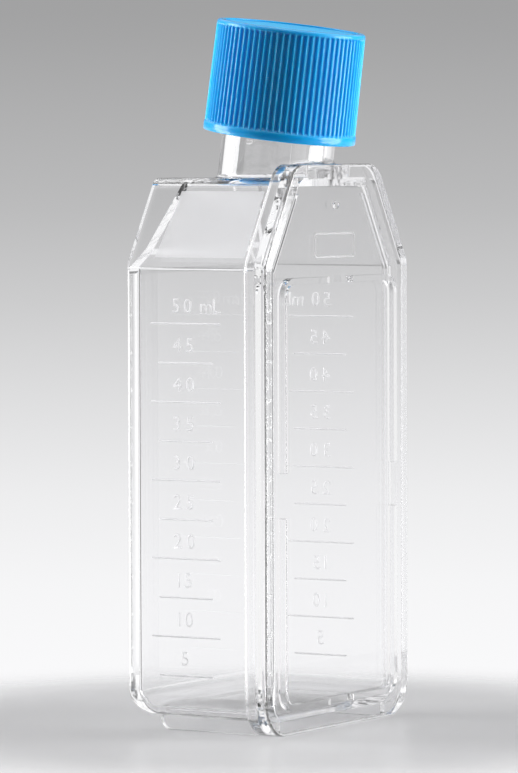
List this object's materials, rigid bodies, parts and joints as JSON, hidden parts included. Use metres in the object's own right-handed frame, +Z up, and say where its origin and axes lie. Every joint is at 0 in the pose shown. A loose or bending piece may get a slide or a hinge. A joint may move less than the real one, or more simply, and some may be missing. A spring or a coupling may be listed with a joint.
{
  "type": "cell culture flask",
  "caption": "Clear rectangular culture flask with a canted neck, standing on its end, closed by a ribbed blue screw cap.",
  "frame": {"origin": "bottom centre of the whole flask's bounding box, on the plane that it stands on", "axes": "+Z up the flask to the neck, +X through the thickness from the growth wall to the welded top plate, +Y across the width"},
  "size_m": [0.029, 0.043, 0.1082],
  "materials": {
    "clear_polystyrene": "clear polished injection-moulded polystyrene",
    "blue_polyethylene": "satin cyan-blue polyethylene",
    "seal_foam": "white closed-cell foam"
  },
  "bodies": {
    "flask": {"flask_tray": "clear_polystyrene", "top_plate": "clear_polystyrene"},
    "seal": {"cap_seal": "seal_foam"},
    "cap": {"screw_cap": "blue_polyethylene"}
  },
  "joints": [
    {"name": "cap_lift", "type": "slide", "parent": "flask", "child": "seal", "axis": [0.1357, 0, 0.9907], "range_m": [0, 0.015]},
    {"name": "cap_turn", "type": "hinge", "parent": "seal", "child": "cap", "pos_m": [0.00007, 0, 0.0837], "axis": [0.1357, 0, 0.9907], "range_deg": [0, 1685]}
  ],
  "couplings": [
    {"joint": "cap_lift", "follows": "cap_turn", "m_per_rad": 0.0005093}
  ]
}
